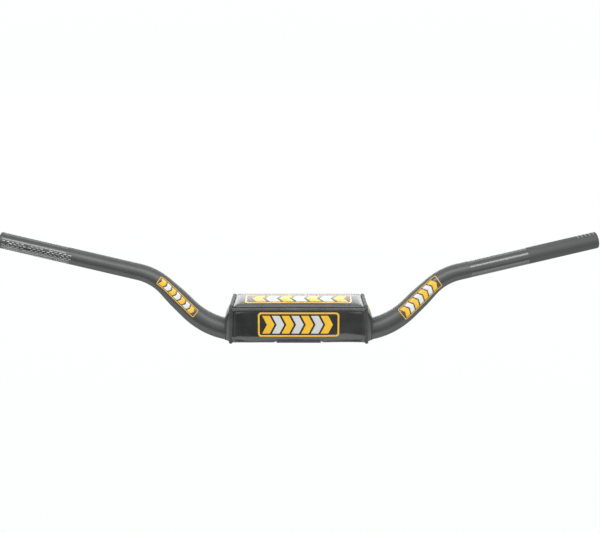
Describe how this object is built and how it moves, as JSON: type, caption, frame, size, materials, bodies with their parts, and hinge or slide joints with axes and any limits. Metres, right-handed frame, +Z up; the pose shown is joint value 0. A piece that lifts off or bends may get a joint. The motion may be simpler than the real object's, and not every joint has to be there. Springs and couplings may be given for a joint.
{
  "type": "motorcycle handlebar",
  "caption": "Tapered off-road handlebar, a single bent tube, with a box-shaped crash pad that covers the clamp section and closes under it with flaps.",
  "frame": {"origin": "centre of the clamp section, on the tube's axis", "axes": "+X along the clamp section to one grip, +Y towards the rider, +Z up"},
  "size_m": [0.8012, 0.0868, 0.1412],
  "materials": {
    "bar_anodised": "dark grey satin anodised",
    "decal_white": "gloss white film with a yellow edge",
    "decal_yellow": "gloss yellow and white film",
    "foam": "closed-cell foam",
    "pad_vinyl": "gloss black coated fabric",
    "welt_vinyl": "gloss black piping",
    "closure_web": "black woven nylon",
    "loop_tape": "black loop pile",
    "hook_tape": "black moulded hooks",
    "badge_print": "yellow and light grey print",
    "badge_print_top": "yellow and light grey print"
  },
  "bodies": {
    "bar": {"bar_tube": "bar_anodised", "tube_decal_left": "decal_white", "tube_decal_right": "decal_yellow"},
    "pad": {"foam_core": "foam", "cover_front": "pad_vinyl", "cover_top": "pad_vinyl", "cover_rear": "pad_vinyl", "end_panel_left": "pad_vinyl", "end_panel_right": "pad_vinyl", "welt_left": "welt_vinyl", "welt_right": "welt_vinyl", "piping_front": "welt_vinyl", "piping_rear": "welt_vinyl", "badge_front": "badge_print", "badge_top": "badge_print_top", "end_label": "badge_print"},
    "front_closure": {"front_flap": "closure_web", "hook_strip": "hook_tape"},
    "rear_closure": {"rear_flap": "closure_web", "loop_strip": "loop_tape"}
  },
  "joints": [
    {"name": "pad_lift", "type": "slide", "parent": "bar", "child": "pad", "axis": [0, 0, 1], "range_m": [0, 0.04]},
    {"name": "front_flap_fold", "type": "hinge", "parent": "pad", "child": "front_closure", "pos_m": [0, -0.0266, -0.0058], "axis": [-1, 0, 0], "range_deg": [0, 120]},
    {"name": "rear_flap_fold", "type": "hinge", "parent": "pad", "child": "rear_closure", "pos_m": [0, 0.0241, -0.0058], "axis": [1, 0, 0], "range_deg": [0, 120]}
  ],
  "couplings": [
    {"joint": "front_flap_fold", "follows": "pad_lift", "rad_per_m": 52.3},
    {"joint": "rear_flap_fold", "follows": "pad_lift", "rad_per_m": 52.3}
  ]
}
